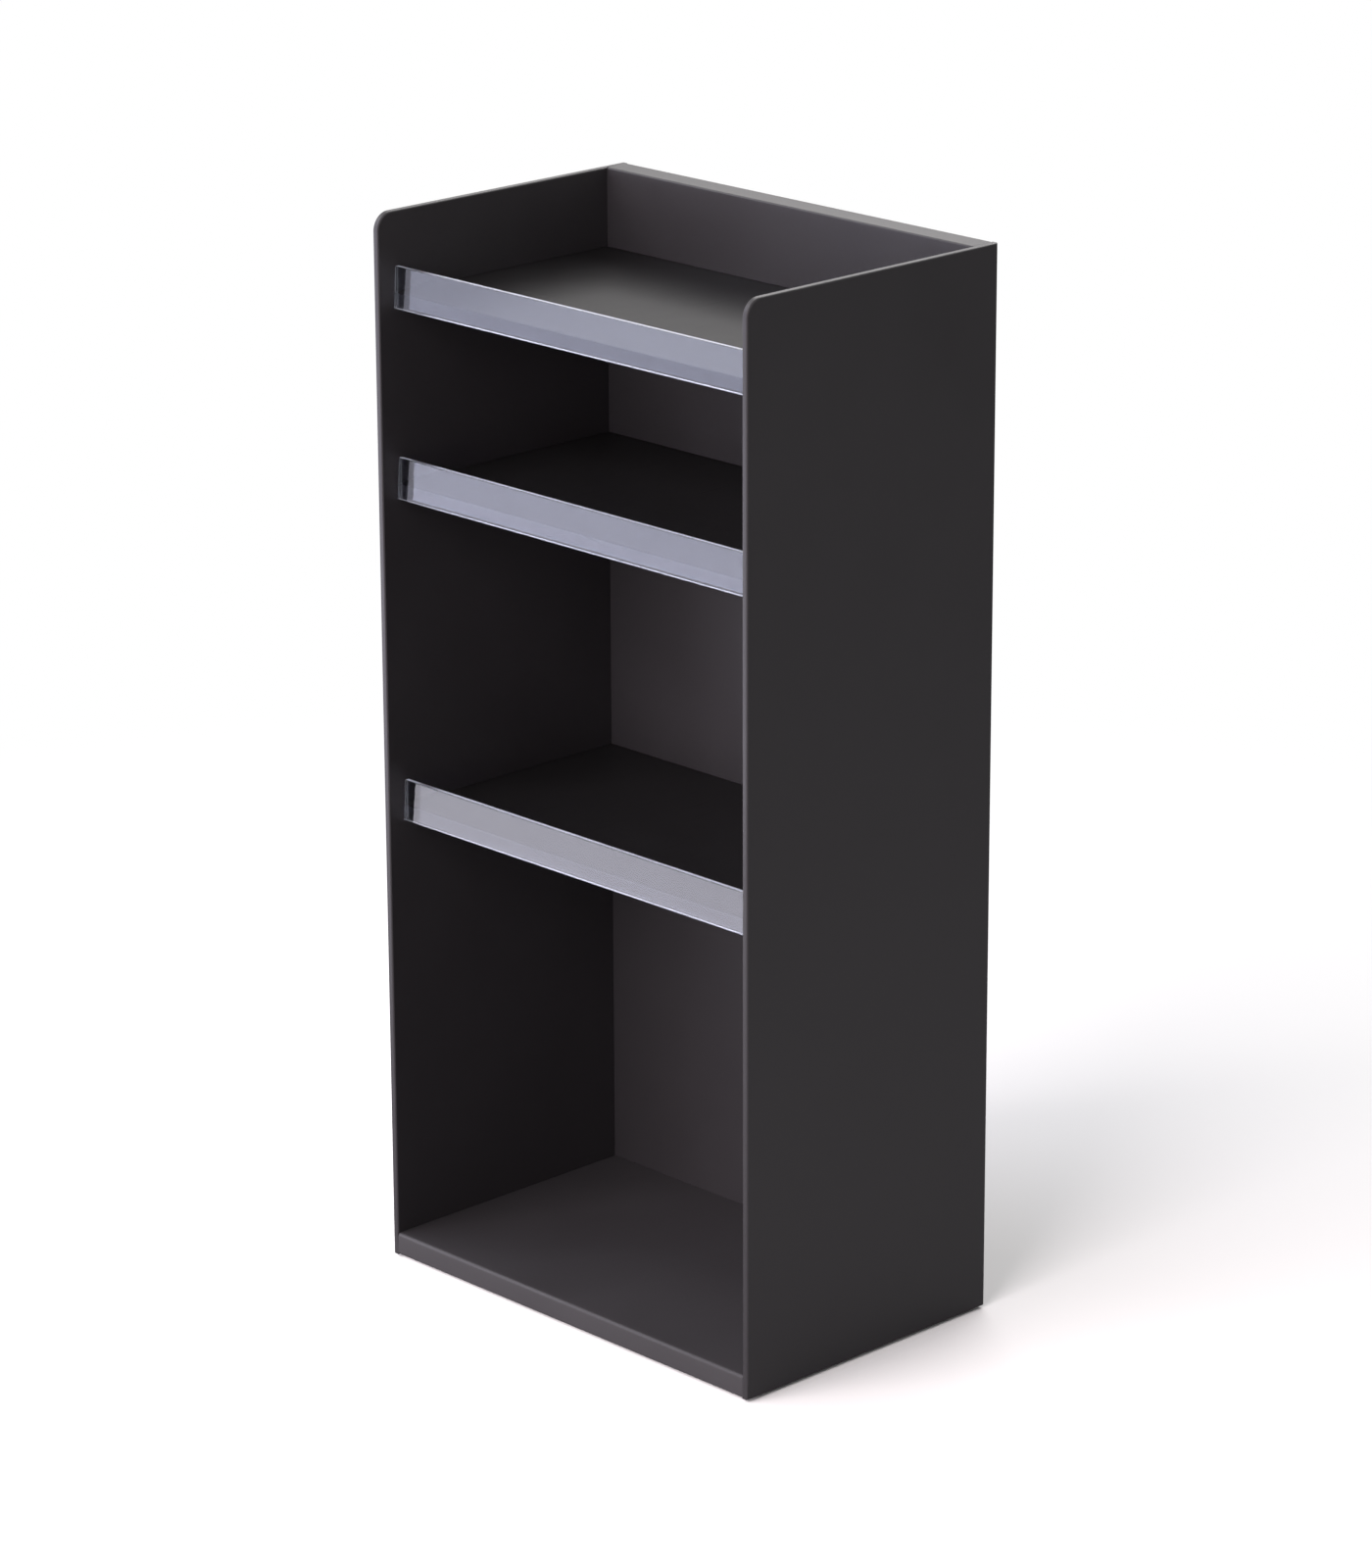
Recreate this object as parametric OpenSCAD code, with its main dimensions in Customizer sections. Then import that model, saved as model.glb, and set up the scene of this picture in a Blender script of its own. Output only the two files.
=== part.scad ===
// Open-fronted upright rack for nail polish and small cosmetics.
// Two thin side panels, a hollow back, a base and three fixed shelves with clear lips.
// X runs left to right, Y from the open front to the back, Z up.
// The origin is the middle of the footprint, on the surface that the rack stands on.

/* [Overall size] */
// Width across the two side panels
rack_w = 140; // [100:1:240]
// Depth from the open front to the rear cover
rack_d = 90; // [70:1:160]
// Height from the standing surface to the rim; the bottom compartment takes what is left
rack_h = 295; // [265:1:420]

/* [Side panels] */
// Thickness of each side panel
side_t = 2; // [1.8:0.1:4]
// Radius of each side panel's front top corner
corner_r = 5; // [2:0.5:12]

/* [Back] */
// Depth of the hollow back, from its inner wall's face to the rear cover's face
back_depth = 7.5; // [6:0.5:14]
// Wall thickness of the inner back panel and of its flanges
back_wall = 2; // [1.8:0.1:3]
// Thickness of the rear cover
cover_t = 1.6; // [1.2:0.1:2.5]
// Thickness of the ribs inside the hollow back
back_rib_t = 1.4; // [1:0.1:2]

/* [Base] */
// Height of the base's front face
base_h = 6.4; // [5:0.1:12]
// Thickness of the base's floor and of its front face
base_wall = 2; // [1.5:0.1:3]
// Thickness of the ribs under the base's floor
base_rib_t = 1.4; // [1:0.1:2]

/* [Shelves] */
// Clear height of the compartment above the lower shelf
middle_clear = 86; // [60:0.5:110]
// Clear height of the compartment above the middle shelf
upper_clear = 48; // [30:0.5:70]
// Height of the rim above the upper shelf
rim_h = 22; // [14:0.5:40]
// Thickness of each shelf's floor and of its front edge
shelf_wall = 2; // [1.5:0.1:3]
// Height of each shelf's front edge
shelf_edge_h = 4; // [3.2:0.1:8]

/* [Lips] */
// Height of each clear lip
lip_h = 11.4; // [8:0.2:18]
// Thickness of each lip at its bottom
lip_t = 2; // [1.6:0.1:3]
// Angle by which each lip's front face leans back
lip_draft = 3; // [0:0.5:5]
// Distance of the lips behind the rack's front
lip_setback = 4.4; // [2:0.1:12]

/* [Feet] */
// Diameter of each foot
foot_dia = 10; // [6:0.5:14]
// Thickness of each foot
foot_t = 1.6; // [1.2:0.1:3]
// How far each foot stands out below the base
foot_proud = 0.8; // [0.5:0.1:1.1]
// Distance from the edges of the base's floor to each foot's centre
foot_inset = 11; // [10.5:0.5:20]
// Wall around each foot's seat
foot_seat_wall = 1.6; // [1:0.1:3]

/* [Joints between the pieces] */
// How far a floor or the back is let into its neighbour's groove
groove_depth = 0.8; // [0.5:0.1:1]
// Clearance on each side of a tongue in its groove
groove_fit = 0.1; // [0.05:0.05:0.2]
// Gap around the rear cover
cover_gap = 0.15; // [0.1:0.05:0.3]
// Gap at each end of a lip
lip_end_gap = 0.8; // [0.1:0.1:1]
// Clearance around a foot in its seat
foot_fit = 0.1; // [0.05:0.05:0.2]

/* [Hidden] */
$fn = 64;
body_colour = [0.17, 0.16, 0.17];
shelf_colour = [0.12, 0.115, 0.12];
lip_colour = [0.80, 0.84, 0.92, 0.45];
foot_colour = [0.30, 0.30, 0.31];

// Overlap that keeps a cut or a joined block from ending exactly on a face
eps = 0.02;

// Inner width between the side panels, and the planes that the pieces share
inner_w = rack_w - 2 * side_t;
front_y = -rack_d / 2;
rear_y = rack_d / 2;
back_y = rear_y - back_depth;
bottom_z = foot_proud;

// Floor heights: the base's, then each shelf's from the rim downwards
base_z = bottom_z + base_h;
upper_z = rack_h - rim_h;
middle_z = upper_z - shelf_edge_h - upper_clear;
lower_z = middle_z - shelf_edge_h - middle_clear;

// Each shelf's front edge lies behind its lip, and each floor ends in the back's groove
shelf_y = front_y + lip_setback + lip_t;
tongue = groove_depth - groove_fit;

// Inner face of the rear cover, which the back's ribs carry
cover_y = rear_y - cover_t;

// Foot centres, and the seats that hold the feet
foot_x = inner_w / 2 - foot_inset;
foot_front_y = front_y + foot_inset;
foot_rear_y = back_y - foot_inset;
foot_seat_depth = foot_t - foot_proud;
foot_seat_dia = foot_dia + 2 * foot_fit;
foot_boss_dia = foot_seat_dia + 2 * foot_seat_wall;

// Block given by its lowest and its highest corner
module block(low, high) {
    translate(low)
        cube(high - low);
}

// Outline of a side panel, front edge at the left, with a rounded front top corner
module side_outline() {
    difference() {
        translate([front_y, bottom_z])
            square([rack_d, rack_h - bottom_z]);
        translate([front_y - eps, rack_h - corner_r])
            square([corner_r + eps, corner_r + eps]);
    }
    translate([front_y + corner_r, rack_h - corner_r])
        circle(r = corner_r);
}

// Groove that takes a floor's edge, cut into the left side panel's inner face
module floor_groove(floor_z, wall, start_y) {
    block(
        [-inner_w / 2 - groove_depth, start_y - groove_fit, floor_z - wall - groove_fit],
        [-inner_w / 2 + eps, back_y + eps, floor_z + groove_fit]
    );
}

// Left side panel, with grooves for the four floors and for the back
module side_panel() {
    difference() {
        translate([-rack_w / 2, 0, 0])
            rotate([90, 0, 90])
                linear_extrude(height = side_t)
                    side_outline();
        floor_groove(base_z, base_wall, front_y + base_wall);
        for (floor_z = [lower_z, middle_z, upper_z])
            floor_groove(floor_z, shelf_wall, shelf_y + shelf_wall);
        block(
            [-inner_w / 2 - groove_depth, back_y - groove_fit, bottom_z + back_wall - groove_fit],
            [-inner_w / 2 + eps, back_y + back_wall + groove_fit, rack_h - back_wall + groove_fit]
        );
    }
}

module left_side_panel() {
    color(body_colour)
        side_panel();
}

module right_side_panel() {
    color(body_colour)
        mirror([1, 0, 0])
            side_panel();
}

// Groove in the back's inner wall that takes a floor's rear edge
module back_groove(floor_z, wall) {
    block(
        [-inner_w / 2 - eps, back_y - eps, floor_z - wall - groove_fit],
        [inner_w / 2 + eps, back_y + groove_depth, floor_z + groove_fit]
    );
}

// Rib across the hollow back, behind a floor
module back_rib(floor_z) {
    block(
        [-inner_w / 2 + back_wall - eps, back_y + back_wall - eps, floor_z - back_rib_t],
        [inner_w / 2 - back_wall + eps, cover_y, floor_z]
    );
}

// Inner back panel: a shallow tray that opens to the rear, with ribs that carry the cover
module back_panel() {
    color(body_colour)
        difference() {
            union() {
                difference() {
                    block([-inner_w / 2, back_y, bottom_z], [inner_w / 2, rear_y, rack_h]);
                    block(
                        [-inner_w / 2 + back_wall, back_y + back_wall, bottom_z + back_wall],
                        [inner_w / 2 - back_wall, rear_y + eps, rack_h - back_wall]
                    );
                }
                block(
                    [-inner_w / 2 - tongue, back_y, bottom_z + back_wall],
                    [inner_w / 2 + tongue, back_y + back_wall, rack_h - back_wall]
                );
                for (floor_z = [lower_z, middle_z, upper_z])
                    back_rib(floor_z);
            }
            back_groove(base_z, base_wall);
            for (floor_z = [lower_z, middle_z, upper_z])
                back_groove(floor_z, shelf_wall);
        }
}

// Rear cover, flush with the flanges around it
module rear_cover() {
    color(body_colour)
        block(
            [-inner_w / 2 + back_wall + cover_gap, cover_y, bottom_z + back_wall + cover_gap],
            [inner_w / 2 - back_wall - cover_gap, rear_y, rack_h - back_wall - cover_gap]
        );
}

// Floor with a front edge that turns down, let into the side panels and the back
module floor_panel(floor_z, wall, edge_h, start_y) {
    block([-inner_w / 2, start_y, floor_z - wall], [inner_w / 2, back_y, floor_z]);
    block([-inner_w / 2, start_y, floor_z - edge_h], [inner_w / 2, start_y + wall, floor_z]);
    block(
        [-inner_w / 2 - tongue, start_y + wall, floor_z - wall],
        [inner_w / 2 + tongue, back_y - groove_fit, floor_z]
    );
    block(
        [-inner_w / 2 + groove_fit, back_y - eps, floor_z - wall],
        [inner_w / 2 - groove_fit, back_y + tongue, floor_z]
    );
}

// Places its children at the four feet, on the underside of the base
module at_feet() {
    for (x = [-foot_x, foot_x])
        for (y = [foot_front_y, foot_rear_y])
            translate([x, y, bottom_z])
                children();
}

// Ribs and foot bosses under the base's floor
module base_underside() {
    rib_top = base_z - base_wall + eps;
    for (y = [foot_front_y, foot_rear_y])
        block(
            [-inner_w / 2 + groove_fit, y - base_rib_t / 2, bottom_z],
            [inner_w / 2 - groove_fit, y + base_rib_t / 2, rib_top]
        );
    for (x = [-foot_x, foot_x])
        block(
            [x - base_rib_t / 2, front_y + base_wall - eps, bottom_z],
            [x + base_rib_t / 2, back_y - groove_fit, rib_top]
        );
    at_feet()
        cylinder(d = foot_boss_dia, h = rib_top - bottom_z);
}

module base_panel() {
    color(body_colour)
        difference() {
            union() {
                floor_panel(base_z, base_wall, base_h, front_y);
                base_underside();
            }
            at_feet()
                translate([0, 0, -eps])
                    cylinder(d = foot_seat_dia, h = foot_seat_depth + eps);
        }
}

module shelf(floor_z) {
    color(shelf_colour)
        floor_panel(floor_z, shelf_wall, shelf_edge_h, shelf_y);
}

module lower_shelf() {
    shelf(lower_z);
}

module middle_shelf() {
    shelf(middle_z);
}

module upper_shelf() {
    shelf(upper_z);
}

// Clear strip bonded to a shelf's front edge, thinner at its top because its face leans back
module lip(floor_z) {
    lip_len = inner_w - 2 * lip_end_gap;
    lean = lip_h * tan(lip_draft);
    color(lip_colour)
        translate([-lip_len / 2, shelf_y - lip_t, floor_z - shelf_edge_h])
            rotate([90, 0, 90])
                linear_extrude(height = lip_len)
                    polygon([[0, 0], [lip_t, 0], [lip_t, lip_h], [lean, lip_h]]);
}

module lower_lip() {
    lip(lower_z);
}

module middle_lip() {
    lip(middle_z);
}

module upper_lip() {
    lip(upper_z);
}

// Round non-slip pad, seated in the base and standing out below it
module foot(x, y) {
    color(foot_colour)
        translate([x, y, 0])
            cylinder(d = foot_dia, h = foot_t);
}

module foot_front_left() {
    foot(-foot_x, foot_front_y);
}

module foot_front_right() {
    foot(foot_x, foot_front_y);
}

module foot_rear_left() {
    foot(-foot_x, foot_rear_y);
}

module foot_rear_right() {
    foot(foot_x, foot_rear_y);
}

left_side_panel();
right_side_panel();
back_panel();
rear_cover();
base_panel();
lower_shelf();
middle_shelf();
upper_shelf();
lower_lip();
middle_lip();
upper_lip();
foot_front_left();
foot_front_right();
foot_rear_left();
foot_rear_right();
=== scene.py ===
"""Upright rack for nail polish and small cosmetics: black satin mouldings with clear lips."""
import math

import bmesh
import bpy
from mathutils import Matrix, Vector


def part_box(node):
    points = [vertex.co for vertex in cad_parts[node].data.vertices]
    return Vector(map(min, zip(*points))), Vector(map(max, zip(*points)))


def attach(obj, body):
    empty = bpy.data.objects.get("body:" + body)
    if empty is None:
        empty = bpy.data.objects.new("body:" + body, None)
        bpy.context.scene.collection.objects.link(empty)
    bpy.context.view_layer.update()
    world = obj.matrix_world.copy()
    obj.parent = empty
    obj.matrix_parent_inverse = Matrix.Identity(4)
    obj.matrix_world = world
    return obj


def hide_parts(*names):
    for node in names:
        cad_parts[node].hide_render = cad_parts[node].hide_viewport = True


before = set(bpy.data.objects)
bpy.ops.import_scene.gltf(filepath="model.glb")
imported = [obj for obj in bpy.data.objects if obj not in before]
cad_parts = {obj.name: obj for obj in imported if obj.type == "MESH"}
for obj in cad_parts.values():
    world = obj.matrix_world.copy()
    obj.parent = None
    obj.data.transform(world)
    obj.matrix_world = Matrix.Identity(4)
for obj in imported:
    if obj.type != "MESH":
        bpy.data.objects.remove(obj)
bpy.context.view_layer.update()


# ---------------------------------------------------------------- camera
# A long lens stands off the rack's front right corner and looks down on it, so that the right
# panel's outside, the left panel's inside and all four floors are in view.
CAMERA_AZIMUTH = math.radians(46.1)
CAMERA_ELEVATION = math.radians(18.1)
CAMERA_ROLL = math.radians(-0.22)
CAMERA_DISTANCE = 1.539
CAMERA_AIM = Vector((0.0009, 0.0, 0.1438))
CAMERA_LENS_MM = 132.5


def look_at(looker, place, aim, roll=0.0):
    """Puts a camera or a lamp at a place, turned to face a point."""
    turn = (aim - place).to_track_quat("-Z", "Y").to_matrix().to_4x4()
    looker.matrix_world = Matrix.Translation(place) @ turn @ Matrix.Rotation(roll, 4, "Z")


camera_back = Vector((
    math.sin(CAMERA_AZIMUTH) * math.cos(CAMERA_ELEVATION),
    -math.cos(CAMERA_AZIMUTH) * math.cos(CAMERA_ELEVATION),
    math.sin(CAMERA_ELEVATION),
))
camera = bpy.data.objects.new("camera", bpy.data.cameras.new("camera"))
bpy.context.scene.collection.objects.link(camera)
camera.data.lens = CAMERA_LENS_MM
look_at(camera, CAMERA_AIM + camera_back * CAMERA_DISTANCE, CAMERA_AIM, CAMERA_ROLL)
bpy.context.scene.camera = camera
bpy.context.scene.view_settings.view_transform = "Standard"


# ---------------------------------------------------------------- studio
# A pale floor in a plain white room, under five soft lamps. The two at the front left are what
# the clear lips mirror, the front one fills the compartments, and the high two light the tops.
WHITE = "#ffffff"
WALL_SEEN = 1.0
WALL_MIRRORED = 0.6
WALL_AS_LIGHT = 0.25
FLOOR_SIZE = 14.0
FLOOR_CARD_ENDS = 0.12
FLOOR_WALL_STARTS = 0.55
FLOOR_SEEN = "#f2f2f2"
FLOOR_BOUNCED = "#9c9c9e"


def linear(hex_colour):
    """An sRGB hex colour as linear red, green, blue and alpha."""
    channels = [int(hex_colour[i:i + 2], 16) / 255 for i in (1, 3, 5)]
    return [c / 12.92 if c <= 0.04045 else ((c + 0.055) / 1.055) ** 2.4 for c in channels] + [1.0]


def add_node(tree, kind, inputs=None, **settings):
    """Adds a node with its settings. Each input is a value or the socket that it is linked to."""
    node = tree.nodes.new(kind)
    for name, value in settings.items():
        setattr(node, name, value)
    for name, value in (inputs or {}).items():
        if isinstance(value, bpy.types.NodeSocket):
            tree.links.new(value, node.inputs[name])
        else:
            node.inputs[name].default_value = value
    return node


def new_material(name):
    """An empty material and its node tree."""
    material = bpy.data.materials.new(name)
    material.use_nodes = True
    material.node_tree.nodes.clear()
    return material, material.node_tree


def seen_directly(tree):
    """1 where the camera sees a surface itself or through something clear, and 0 elsewhere."""
    path = add_node(tree, "ShaderNodeLightPath")
    return add_node(tree, "ShaderNodeMath", {
        0: path.outputs["Is Camera Ray"], 1: path.outputs["Is Transmission Ray"],
    }, operation="MAXIMUM").outputs[0]


def white_room():
    """The room: white where it is seen, softer where it is mirrored, and softest as a light."""
    world = bpy.data.worlds.new("white_room")
    bpy.context.scene.world = world
    world.use_nodes = True
    tree = world.node_tree
    tree.nodes.clear()
    as_light, mirrored, wall = [
        add_node(tree, "ShaderNodeBackground", {"Color": linear(WHITE), "Strength": strength})
        for strength in (WALL_AS_LIGHT, WALL_MIRRORED, WALL_SEEN)
    ]
    path = add_node(tree, "ShaderNodeLightPath")
    unseen = add_node(tree, "ShaderNodeMixShader", {
        0: path.outputs["Is Glossy Ray"], 1: as_light.outputs[0], 2: mirrored.outputs[0],
    })
    mix = add_node(tree, "ShaderNodeMixShader", {
        0: seen_directly(tree), 1: unseen.outputs[0], 2: wall.outputs[0],
    })
    add_node(tree, "ShaderNodeOutputWorld", {"Surface": mix.outputs[0]})


def soft_box(name, place, aim, width, height, radiance, colour, mirrored=True):
    """A rectangular soft lamp, given by its brightness as seen from the rack.

    A lamp that isn't mirrored only fills, and leaves no bright patch in the glossy pieces.
    """
    lamp = bpy.data.objects.new(name, bpy.data.lights.new(name, "AREA"))
    bpy.context.scene.collection.objects.link(lamp)
    lamp.data.shape = "RECTANGLE"
    lamp.data.size = width
    lamp.data.size_y = height
    lamp.data.energy = radiance * math.pi * width * height
    lamp.data.color = linear(colour)[:3]
    lamp.visible_camera = False
    lamp.visible_glossy = mirrored
    look_at(lamp, Vector(place), Vector(aim))


white_room()
soft_box(
    "front_left_box", place=(-0.38, -0.22, 0.41), aim=(-0.18, 0.11, 0.41),
    width=0.50, height=0.60, radiance=1.75, colour="#eaeaff",
)
soft_box(
    "front_left_strip", place=(-0.38, -0.22, 0.0575), aim=(-0.18, 0.11, 0.0575),
    width=0.50, height=0.105, radiance=3.3, colour="#f2f0ff",
)
soft_box(
    "upper_left_box", place=(-0.75, -0.35, 0.95), aim=(0.0, 0.0, 0.2),
    width=0.90, height=0.60, radiance=1.5, colour=WHITE,
)
soft_box(
    "front_box", place=(0.05, -0.95, 0.50), aim=(0.05, 0.0, 0.15),
    width=1.10, height=1.00, radiance=8.0, colour="#fff6f8", mirrored=False,
)
soft_box(
    "high_rear_box", place=(-0.35, 0.80, 1.05), aim=(0.0, 0.0, 0.2),
    width=1.20, height=0.80, radiance=3.6, colour="#fffcfc",
)

bpy.ops.object.select_all(action="DESELECT")
bpy.ops.mesh.primitive_plane_add(size=FLOOR_SIZE)
floor = bpy.context.object
floor.name = "studio_floor"

# Near the rack the floor is a card that keeps the shadow, and further off it turns into the wall's
# white. The light that it sends back into the rack is greyer, and it is clear from below.
card, tree = new_material("studio_card")
where = add_node(tree, "ShaderNodeTexCoord").outputs["Object"]
distance = add_node(tree, "ShaderNodeVectorMath", {0: where}, operation="LENGTH")
far_away = add_node(tree, "ShaderNodeMapRange", {
    "Value": distance.outputs["Value"], "From Min": FLOOR_CARD_ENDS, "From Max": FLOOR_WALL_STARTS,
}, interpolation_type="SMOOTHSTEP")
near_card = add_node(tree, "ShaderNodeBsdfDiffuse", {"Color": linear(FLOOR_SEEN)})
far_wall = add_node(tree, "ShaderNodeEmission", {"Strength": WALL_SEEN})
seen = add_node(tree, "ShaderNodeMixShader", {
    0: far_away.outputs["Result"], 1: near_card.outputs[0], 2: far_wall.outputs[0],
})
bounced = add_node(tree, "ShaderNodeBsdfDiffuse", {"Color": linear(FLOOR_BOUNCED)})
from_above = add_node(tree, "ShaderNodeMixShader", {
    0: seen_directly(tree), 1: bounced.outputs[0], 2: seen.outputs[0],
})
below = add_node(tree, "ShaderNodeNewGeometry").outputs["Backfacing"]
clear = add_node(tree, "ShaderNodeBsdfTransparent")
sheet = add_node(tree, "ShaderNodeMixShader", {
    0: below, 1: from_above.outputs[0], 2: clear.outputs[0],
})
add_node(tree, "ShaderNodeOutputMaterial", {"Surface": sheet.outputs[0]})
floor.data.materials.append(card)


# ---------------------------------------------------------------- side panels
# Two flat ABS mouldings, 2 mm thick, with a rounded front top corner and softly rounded edges.
# The floors and the back are bonded into shallow grooves in their inner faces.
PANEL_CORNER = 0.005
PANEL_EDGE = 0.0005
CORNER_STEPS = 12
EDGE_STEPS = 3
FLOOR_WALL = 0.002
BACK_WALL = 0.002
GROOVE_DEPTH = 0.0008
GROOVE_FIT = 0.0001
TONGUE = GROOVE_DEPTH - GROOVE_FIT
SAME_PLANE = 0.00001
SMOOTH_ANGLE = math.radians(35)
SHARP_ANGLE = math.radians(50)
LARGEST_FACES_WIN = 100

panel_low, panel_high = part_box("left_side_panel")
base_low, base_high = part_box("base_panel")
back_low, back_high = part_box("back_panel")
shelf_nodes = ("lower_shelf", "middle_shelf", "upper_shelf")
shelf_tops = [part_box(node)[1].z for node in shelf_nodes]
shelf_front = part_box("lower_shelf")[0].y
inner_x = -panel_high.x
back_y = back_low.y


def start_block(name, low, high):
    """A block between two corners, with its place in its mesh."""
    bpy.ops.object.select_all(action="DESELECT")
    low, high = Vector(low), Vector(high)
    bpy.ops.mesh.primitive_cube_add(size=1, location=(low + high) / 2)
    block = bpy.context.object
    block.name = name
    block.data.name = name
    block.scale = high - low
    bpy.ops.object.transform_apply(location=True, rotation=True, scale=True)
    return block


def edit(piece, kind="EDGE"):
    """Opens a piece in edit mode with nothing selected, and gives its shape."""
    bpy.ops.object.select_all(action="DESELECT")
    piece.select_set(True)
    bpy.context.view_layer.objects.active = piece
    bpy.ops.object.mode_set(mode="EDIT")
    bpy.ops.mesh.select_mode(type=kind)
    bpy.ops.mesh.select_all(action="DESELECT")
    return bmesh.from_edit_mesh(piece.data)


def close(piece):
    """Leaves edit mode."""
    bmesh.update_edit_mesh(piece.data)
    bpy.ops.object.mode_set(mode="OBJECT")


def score(piece, axis, *places):
    """Cuts a line round a piece at each place along an axis, and takes nothing away."""
    for place in places:
        edit(piece)
        bpy.ops.mesh.select_all(action="SELECT")
        bpy.ops.mesh.bisect(plane_co=Vector(axis) * place, plane_no=axis)
        close(piece)


def round_edges(piece, radius, wanted, steps=EDGE_STEPS):
    """Rounds the sharp edges that the test wants, given an edge's middle and its direction."""
    shape = edit(piece)
    for edge in shape.edges:
        middle = (edge.verts[0].co + edge.verts[1].co) / 2
        direction = (edge.verts[1].co - edge.verts[0].co).normalized()
        if edge.calc_face_angle(0) > SHARP_ANGLE and wanted(middle, direction):
            edge.select_set(True)
    bmesh.update_edit_mesh(piece.data)
    bpy.ops.mesh.bevel(offset=radius, segments=steps, affect="EDGES", clamp_overlap=False)
    close(piece)


def push_faces(piece, move, wanted):
    """Extrudes the faces that the test wants, given a face's centre and its normal."""
    shape = edit(piece, "FACE")
    for face in shape.faces:
        if wanted(face.calc_center_median(), face.normal):
            face.select_set(True)
    bmesh.update_edit_mesh(piece.data)
    bpy.ops.mesh.extrude_region_move(TRANSFORM_OT_translate={"value": move})
    close(piece)


def carve(piece, operation, *tools):
    """Joins tools to a piece or cuts them out of it, and removes them."""
    for tool in tools:
        bpy.ops.object.select_all(action="DESELECT")
        bpy.context.view_layer.objects.active = piece
        piece.select_set(True)
        modifier = piece.modifiers.new("carve", "BOOLEAN")
        modifier.operation = operation
        modifier.solver = "EXACT"
        modifier.object = tool
        bpy.ops.object.modifier_apply(modifier=modifier.name)
        bpy.data.objects.remove(tool)


def smooth(piece):
    """Shades a piece smooth across its rounded edges, and keeps its flat faces flat."""
    bpy.ops.object.select_all(action="DESELECT")
    bpy.context.view_layer.objects.active = piece
    piece.select_set(True)
    bpy.ops.object.shade_smooth_by_angle(angle=SMOOTH_ANGLE)
    modifier = piece.modifiers.new("flat_faces", "WEIGHTED_NORMAL")
    modifier.keep_sharp = True
    modifier.weight = LARGEST_FACES_WIN
    bpy.ops.object.modifier_apply(modifier=modifier.name)


def copy_of(piece, name, move=(0, 0, 0)):
    """A copy of a piece with its own mesh, moved in its mesh."""
    twin = piece.copy()
    twin.data = piece.data.copy()
    twin.name = name
    twin.data.name = name
    bpy.context.scene.collection.objects.link(twin)
    twin.data.transform(Matrix.Translation(move))
    return twin


def near(a, b):
    """Whether two places along an axis are the same."""
    return abs(a - b) < SAME_PLANE


def body_satin(name, dark, light, smooth_end, rough_end):
    """Satin black ABS, moulded against a finely spark-eroded tool.

    The fine texture breaks a reflection into a soft grey sheen, handling leaves it a little
    glossier in broad patches, and there is no pattern to see from arm's length.
    """
    patch_size = 0.045
    patch_from = 0.3
    patch_to = 0.7
    grain_size = 0.0007
    grain_height = 0.00005
    grain_roughness = 0.06
    material, tree = new_material(name)
    place = add_node(tree, "ShaderNodeTexCoord").outputs["Object"]
    patches = add_node(tree, "ShaderNodeTexNoise", {
        "Vector": place, "Scale": 1 / patch_size, "Detail": 3.0, "Roughness": 0.55,
    })
    grain = add_node(tree, "ShaderNodeTexNoise", {
        "Vector": place, "Scale": 1 / grain_size, "Detail": 2.0, "Roughness": 0.6,
    })
    colour = add_node(tree, "ShaderNodeMix", {
        "Factor": patches.outputs["Fac"], "A": linear(dark), "B": linear(light),
    }, data_type="RGBA")
    sheen = add_node(tree, "ShaderNodeMapRange", {
        "Value": patches.outputs["Fac"], "From Min": patch_from, "From Max": patch_to,
        "To Min": smooth_end, "To Max": rough_end,
    })
    rough = add_node(tree, "ShaderNodeMath", {
        0: grain.outputs["Fac"], 1: grain_roughness, 2: sheen.outputs["Result"],
    }, operation="MULTIPLY_ADD")
    bump = add_node(tree, "ShaderNodeBump", {
        "Height": grain.outputs["Fac"], "Strength": 0.12, "Distance": grain_height,
    })
    abs_plastic = add_node(tree, "ShaderNodeBsdfPrincipled", {
        "Base Color": colour.outputs["Result"], "Roughness": rough.outputs[0],
        "IOR": 1.52, "Normal": bump.outputs["Normal"],
    })
    add_node(tree, "ShaderNodeOutputMaterial", {"Surface": abs_plastic.outputs[0]})
    return material


satin_abs = body_satin(
    "satin_black_abs", dark="#222022", light="#292729", smooth_end=0.36, rough_end=0.44,
)


def floor_groove(top, start_y):
    """The tool that cuts one floor's groove into the left panel's inner face."""
    return start_block(
        "groove",
        (-inner_x - GROOVE_DEPTH, start_y - GROOVE_FIT, top - FLOOR_WALL - GROOVE_FIT),
        (-inner_x + GROOVE_DEPTH, back_y + GROOVE_FIT, top + GROOVE_FIT),
    )


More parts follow.
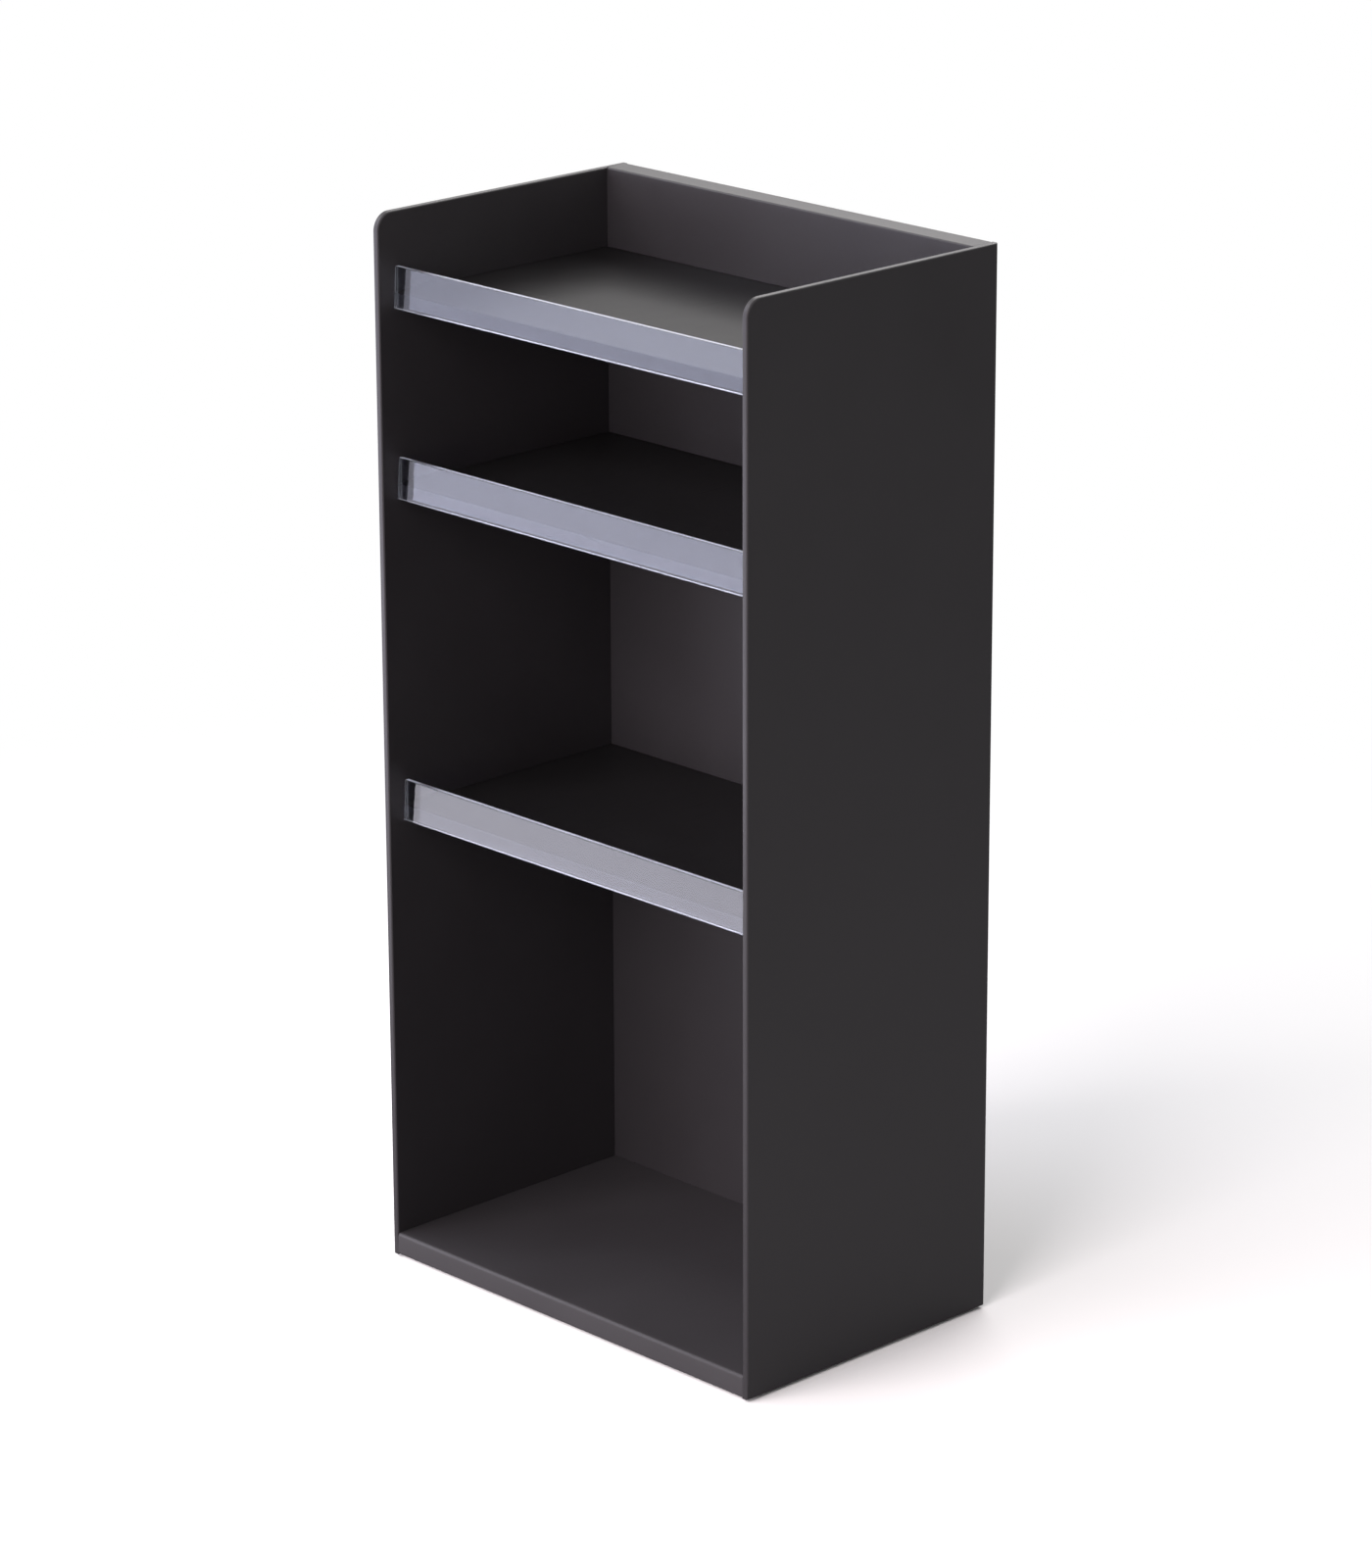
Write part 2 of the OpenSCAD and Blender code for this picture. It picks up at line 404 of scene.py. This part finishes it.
left_panel = start_block("side_panel_left", panel_low, panel_high)
score(left_panel, (0, 0, 1), base_high.z)
score(left_panel, (0, 1, 0), back_y)
round_edges(
    left_panel, PANEL_CORNER, steps=CORNER_STEPS,
    wanted=lambda m, d: near(m.y, panel_low.y) and near(m.z, panel_high.z),
)
round_edges(
    left_panel, PANEL_EDGE,
    wanted=lambda m, d: near(m.x, panel_low.x) or (
        near(m.x, panel_high.x) and m.z > base_high.z and m.y < back_y
    ),
)
carve(
    left_panel, "DIFFERENCE",
    floor_groove(base_high.z, panel_low.y + FLOOR_WALL),
    *[floor_groove(top, shelf_front + FLOOR_WALL) for top in shelf_tops],
    start_block(
        "groove",
        (-inner_x - GROOVE_DEPTH, back_y - GROOVE_FIT, panel_low.z + BACK_WALL - GROOVE_FIT),
        (-inner_x + GROOVE_DEPTH, back_y + BACK_WALL + GROOVE_FIT,
         panel_high.z - BACK_WALL + GROOVE_FIT),
    ),
)

right_panel = copy_of(left_panel, "side_panel_right")
right_panel.data.transform(Matrix.Scale(-1, 4, (1, 0, 0)))
edit(right_panel)
bpy.ops.mesh.select_all(action="SELECT")
bpy.ops.mesh.normals_make_consistent(inside=False)
close(right_panel)

for panel, node in ((left_panel, "left_side_panel"), (right_panel, "right_side_panel")):
    smooth(panel)
    panel.data.materials.append(satin_abs)
    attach(panel, "root")
    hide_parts(node)


# ---------------------------------------------------------------- base
# One ABS moulding: a 2 mm floor whose front edge turns down into the face under the opening.
# Ribs stiffen it from below, and four round bosses hold the feet. Its tool is etched coarser, so
# that it hides scratches, and its colour is painted a little paler than the panels': painted light
# that stands in for the lamps' light on its front face.
BASE_EDGE = 0.0009
BASE_RIB = 0.0014
BOSS_RADIUS = 0.0067
BOSS_STEPS = 48
SEAT_RADIUS = 0.0051
SEAT_DEPTH = 0.0008
ALONG_AXIS = 0.5

foot_nodes = ("foot_front_left", "foot_front_right", "foot_rear_left", "foot_rear_right")
foot_places = [(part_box(node)[0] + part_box(node)[1]) / 2 for node in foot_nodes]
foot_xs = sorted({round(place.x, 5) for place in foot_places})
foot_ys = sorted({round(place.y, 5) for place in foot_places})


def turn_down_front(piece, front_y, wall, drop):
    """Turns a floor's front edge down."""
    score(piece, (0, 1, 0), front_y + wall)
    push_faces(piece, (0, 0, -drop), lambda c, n: n.z < -ALONG_AXIS and c.y < front_y + wall)


def add_tongues(piece, front_y, wall, low_z):
    """Lets a floor's sides and its rear edge out into the neighbours' grooves."""
    def on_floor(centre):
        return centre.z > low_z and centre.y > front_y + wall

    push_faces(piece, (-TONGUE, 0, 0), lambda c, n: n.x < -ALONG_AXIS and on_floor(c))
    push_faces(piece, (TONGUE, 0, 0), lambda c, n: n.x > ALONG_AXIS and on_floor(c))
    push_faces(
        piece, (0, TONGUE, 0),
        lambda c, n: n.y > ALONG_AXIS and on_floor(c) and abs(c.x) < inner_x,
    )


def upright(name, place, radius, low, high, steps):
    """A round tool or boss that stands upright."""
    bpy.ops.object.select_all(action="DESELECT")
    bpy.ops.mesh.primitive_cylinder_add(
        vertices=steps, radius=radius, depth=high - low,
        location=(place.x, place.y, (low + high) / 2),
    )
    post = bpy.context.object
    post.name = name
    bpy.ops.object.transform_apply(location=True, rotation=True, scale=True)
    return post


def cross_rib(y):
    """A rib under the floor that runs from side to side."""
    return start_block("rib", (-inner_x + GROOVE_FIT, y - BASE_RIB / 2, base_low.z),
                       (inner_x - GROOVE_FIT, y + BASE_RIB / 2, rib_top))


def long_rib(x):
    """A rib under the floor that runs from inside the front face to the back."""
    return start_block("rib", (x - BASE_RIB / 2, base_low.y + FLOOR_WALL / 2, base_low.z),
                       (x + BASE_RIB / 2, back_y - GROOVE_FIT, rib_top))


# Painted light: colours paler than the panels', standing in for the lamps' light on the front face.
etched_abs_painted_light = body_satin(
    "etched_black_abs_painted_light", dark="#2b292b", light="#343234", smooth_end=0.50, rough_end=0.58,
)

# The ribs and bosses reach a little way into the floor, so that they are one with it.
floor_low = base_high.z - FLOOR_WALL
rib_top = floor_low + FLOOR_WALL / 4
base = start_block("base_moulding", (-inner_x, base_low.y, floor_low), (inner_x, back_y, base_high.z))
turn_down_front(base, base_low.y, FLOOR_WALL, floor_low - base_low.z)
add_tongues(base, base_low.y, FLOOR_WALL, floor_low)
round_edges(
    base, BASE_EDGE,
    wanted=lambda m, d: abs(d.x) > ALONG_AXIS and near(m.y, base_low.y),
)
carve(
    base, "UNION",
    *[cross_rib(y) for y in foot_ys],
    *[long_rib(x) for x in foot_xs],
    *[upright("boss", p, BOSS_RADIUS, base_low.z, rib_top, BOSS_STEPS) for p in foot_places],
)
carve(
    base, "DIFFERENCE",
    *[upright("seat", p, SEAT_RADIUS, base_low.z - SEAT_DEPTH, base_low.z + SEAT_DEPTH, BOSS_STEPS)
      for p in foot_places],
)
smooth(base)
base.data.materials.append(etched_abs_painted_light)
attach(base, "root")
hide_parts("base_panel")


# ---------------------------------------------------------------- back
# The inner back panel is a shallow ABS tray that opens to the rear, with a rib behind each
# shelf. The rear cover is a plain plate bonded to the ribs, flush with the tray's flanges.
BACK_EDGE = 0.0005
BACK_RIB = 0.0014
COVER_EDGE = 0.00025

cover_low, cover_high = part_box("rear_cover")


def back_rib(top):
    """The rib across the tray that stands behind a shelf, let half-way into the walls round it."""
    return start_block("rib", (-inner_x + BACK_WALL / 2, back_y + BACK_WALL / 2, top - BACK_RIB),
                       (inner_x - BACK_WALL / 2, cover_low.y, top))


def back_groove(top):
    """The tool that cuts a floor's groove into the back panel's front."""
    return start_block(
        "groove",
        (-inner_x - GROOVE_DEPTH, back_y - GROOVE_DEPTH, top - FLOOR_WALL - GROOVE_FIT),
        (inner_x + GROOVE_DEPTH, back_y + GROOVE_DEPTH, top + GROOVE_FIT),
    )


back = start_block("back_moulding", (-inner_x, back_y, back_low.z), (inner_x, back_high.y, back_high.z))
shape = edit(back, "FACE")
for face in shape.faces:
    face.select_set(face.normal.y > ALONG_AXIS)
bmesh.update_edit_mesh(back.data)
bpy.ops.mesh.inset(thickness=BACK_WALL)
bpy.ops.mesh.extrude_region_move(
    TRANSFORM_OT_translate={"value": (0, -(back_high.y - back_y - BACK_WALL), 0)}
)
close(back)
round_edges(
    back, BACK_EDGE,
    wanted=lambda m, d: abs(d.x) > ALONG_AXIS and near(m.z, back_high.z),
)
carve(
    back, "UNION",
    start_block("tongues", (-inner_x - TONGUE, back_y, back_low.z + BACK_WALL),
                (inner_x + TONGUE, back_y + BACK_WALL, back_high.z - BACK_WALL)),
    *[back_rib(top) for top in shelf_tops],
)
carve(back, "DIFFERENCE", *[back_groove(top) for top in [base_high.z] + shelf_tops])
cover = start_block("rear_cover_plate", cover_low, cover_high)
round_edges(cover, COVER_EDGE, wanted=lambda m, d: near(m.y, cover_high.y), steps=2)

for piece, node in ((back, "back_panel"), (cover, "rear_cover")):
    smooth(piece)
    piece.data.materials.append(satin_abs)
    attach(piece, "root")
    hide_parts(node)


# ---------------------------------------------------------------- shelves
# Three like ABS mouldings: a 2 mm floor with a 4 mm front edge, smooth on top so that the
# bottles slide, and bonded into the grooves of the side panels and the back.
SHELF_EDGE = 0.0003


def shelf_gloss():
    """Smooth black ABS, deeper in colour than the satin pieces.

    Its sheen is low and blurred, with hazy patches, and bottles pushed in and out leave faint
    hairline scuffs that run from front to back.
    """
    haze_size = 0.02
    haze_roughness = 0.10
    clean_roughness = 0.34
    scuff_width = 0.0006
    scuff_length = 0.03
    scuff_from = 0.66
    scuff_to = 0.78
    scuff_roughness = 0.06
    material, tree = new_material("smooth_black_abs")
    place = add_node(tree, "ShaderNodeTexCoord").outputs["Object"]
    haze = add_node(tree, "ShaderNodeTexNoise", {
        "Vector": place, "Scale": 1 / haze_size, "Detail": 4.0, "Roughness": 0.6,
    })
    along = add_node(tree, "ShaderNodeMapping", {
        "Vector": place, "Scale": (1 / scuff_width, 1 / scuff_length, 1 / scuff_width),
    })
    scuffs = add_node(tree, "ShaderNodeTexNoise", {
        "Vector": along.outputs["Vector"], "Scale": 1.0, "Detail": 2.0, "Roughness": 0.5,
    })
    worn = add_node(tree, "ShaderNodeMapRange", {
        "Value": scuffs.outputs["Fac"], "From Min": scuff_from, "From Max": scuff_to,
        "To Min": clean_roughness, "To Max": clean_roughness + scuff_roughness,
    })
    rough = add_node(tree, "ShaderNodeMath", {
        0: haze.outputs["Fac"], 1: haze_roughness, 2: worn.outputs["Result"],
    }, operation="MULTIPLY_ADD")
    colour = add_node(tree, "ShaderNodeMix", {
        "Factor": haze.outputs["Fac"], "A": linear("#171617"), "B": linear("#1f1e1f"),
    }, data_type="RGBA")
    abs_plastic = add_node(tree, "ShaderNodeBsdfPrincipled", {
        "Base Color": colour.outputs["Result"], "Roughness": rough.outputs[0],
        "IOR": 1.52, "Specular IOR Level": 0.12,
    })
    add_node(tree, "ShaderNodeOutputMaterial", {"Surface": abs_plastic.outputs[0]})
    return material


gloss_abs = shelf_gloss()
shelf_low, shelf_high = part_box("lower_shelf")
plate_low = shelf_high.z - FLOOR_WALL
first = start_block("shelf_lower", (-inner_x, shelf_low.y, plate_low), (inner_x, back_y, shelf_high.z))
turn_down_front(first, shelf_low.y, FLOOR_WALL, plate_low - shelf_low.z)
add_tongues(first, shelf_low.y, FLOOR_WALL, plate_low)
round_edges(
    first, SHELF_EDGE, wanted=lambda m, d: abs(d.x) > ALONG_AXIS and near(m.y, shelf_low.y), steps=2,
)
shelves = [first] + [
    copy_of(first, name, (0, 0, top - shelf_high.z))
    for name, top in zip(("shelf_middle", "shelf_upper"), shelf_tops[1:])
]
for piece, node in zip(shelves, shelf_nodes):
    smooth(piece)
    piece.data.materials.append(gloss_abs)
    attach(piece, "root")
    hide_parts(node)


# ---------------------------------------------------------------- lips
# Three clear polystyrene strips, moulded with a polished face that leans back a little so that
# it leaves the tool, and bonded to the front edges of the shelves.
LIP_LEAN = math.radians(3)
LIP_EDGE = 0.0002
AIR_FILM = 0.00005


def lip_clear():
    """Clear polystyrene, moulded and polished.

    It mirrors the room in its flat faces and is very faintly blue. The mirrored room is a little
    wavy, as the strip cools unevenly, and the narrow top and bottom faces are only satin, as the
    tool is not polished there.
    """
    wave_length = 0.03
    wave_height = 0.0002
    clear_roughness = 0.02
    hazy_roughness = 0.07
    edge_from = 0.7
    edge_to = 0.9
    edge_roughness = 0.35
    material, tree = new_material("clear_polystyrene")
    place = add_node(tree, "ShaderNodeTexCoord").outputs["Object"]
    wave = add_node(tree, "ShaderNodeTexNoise", {
        "Vector": place, "Scale": 1 / wave_length, "Detail": 1.0,
    })
    bump = add_node(tree, "ShaderNodeBump", {
        "Height": wave.outputs["Fac"], "Strength": 0.10, "Distance": wave_height,
    })
    haze = add_node(tree, "ShaderNodeMapRange", {
        "Value": wave.outputs["Fac"], "To Min": clear_roughness, "To Max": hazy_roughness,
    })
    facing = add_node(tree, "ShaderNodeSeparateXYZ", {
        "Vector": add_node(tree, "ShaderNodeNewGeometry").outputs["True Normal"],
    })
    upward = add_node(tree, "ShaderNodeMath", {0: facing.outputs["Z"]}, operation="ABSOLUTE")
    narrow = add_node(tree, "ShaderNodeMapRange", {
        "Value": upward.outputs[0], "From Min": edge_from, "From Max": edge_to,
        "To Min": 0.0, "To Max": edge_roughness,
    })
    rough = add_node(tree, "ShaderNodeMath", {
        0: haze.outputs["Result"], 1: narrow.outputs["Result"],
    }, operation="ADD")
    plastic = add_node(tree, "ShaderNodeBsdfPrincipled", {
        "Base Color": linear("#e6ebfb"), "Roughness": rough.outputs[0], "IOR": 1.59,
        "Transmission Weight": 1.0, "Normal": bump.outputs["Normal"],
    })
    add_node(tree, "ShaderNodeOutputMaterial", {"Surface": plastic.outputs[0]})
    return material


lip_nodes = ("lower_lip", "middle_lip", "upper_lip")
clear_plastic = lip_clear()
lip_low, lip_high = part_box("lower_lip")
lean = (lip_high.z - lip_low.z) * math.tan(LIP_LEAN)
first = start_block("lip_lower", lip_low, (lip_high.x, lip_high.y - AIR_FILM, lip_high.z))
shape = edit(first)
for edge in shape.edges:
    edge.select_set(all(near(v.co.y, lip_low.y) and near(v.co.z, lip_high.z) for v in edge.verts))
bmesh.update_edit_mesh(first.data)
bpy.ops.transform.translate(value=(0, lean, 0))
close(first)
round_edges(first, LIP_EDGE, wanted=lambda m, d: abs(d.x) > ALONG_AXIS)
round_edges(first, LIP_EDGE, wanted=lambda m, d: near(abs(m.x), lip_high.x), steps=2)
lips = [first] + [
    copy_of(first, name, (0, 0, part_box(node)[1].z - lip_high.z))
    for name, node in zip(("lip_middle", "lip_upper"), lip_nodes[1:])
]
for piece, node in zip(lips, lip_nodes):
    smooth(piece)
    piece.data.materials.append(clear_plastic)
    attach(piece, "root")
    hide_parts(node)


# ---------------------------------------------------------------- feet
# Four round pads of silicone rubber, cut from sheet. Each is pressed into the seat in a boss
# under the base and stands a little proud of it, so that the rack doesn't slip.
FOOT_EDGE = 0.0002
FOOT_STEPS = 48


def foot_rubber():
    """Grey silicone rubber sheet.

    It is dull and even, with the faint mottle of the cloth that the sheet was cured against.
    """
    mottle_size = 0.0006
    mottle_height = 0.00005
    material, tree = new_material("silicone_rubber")
    place = add_node(tree, "ShaderNodeTexCoord").outputs["Object"]
    mottle = add_node(tree, "ShaderNodeTexNoise", {
        "Vector": place, "Scale": 1 / mottle_size, "Detail": 2.0,
    })
    colour = add_node(tree, "ShaderNodeMix", {
        "Factor": mottle.outputs["Fac"], "A": linear("#3a3a3c"), "B": linear("#464648"),
    }, data_type="RGBA")
    bump = add_node(tree, "ShaderNodeBump", {
        "Height": mottle.outputs["Fac"], "Strength": 0.3, "Distance": mottle_height,
    })
    rubber = add_node(tree, "ShaderNodeBsdfPrincipled", {
        "Base Color": colour.outputs["Result"], "Roughness": 0.75, "IOR": 1.41,
        "Normal": bump.outputs["Normal"],
    })
    add_node(tree, "ShaderNodeOutputMaterial", {"Surface": rubber.outputs[0]})
    return material


silicone = foot_rubber()
foot_low, foot_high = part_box("foot_front_left")
foot_radius = (foot_high.x - foot_low.x) / 2
pad_names = [node.replace("foot", "foot_pad") for node in foot_nodes]
first = upright(pad_names[0], foot_places[0], foot_radius, foot_low.z, foot_high.z, FOOT_STEPS)
round_edges(first, FOOT_EDGE, wanted=lambda m, d: near(m.z, foot_low.z), steps=2)
pads = [first] + [
    copy_of(first, name, place - foot_places[0])
    for name, place in zip(pad_names[1:], foot_places[1:])
]
for piece, node in zip(pads, foot_nodes):
    smooth(piece)
    piece.data.materials.append(silicone)
    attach(piece, "root")
    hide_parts(node)
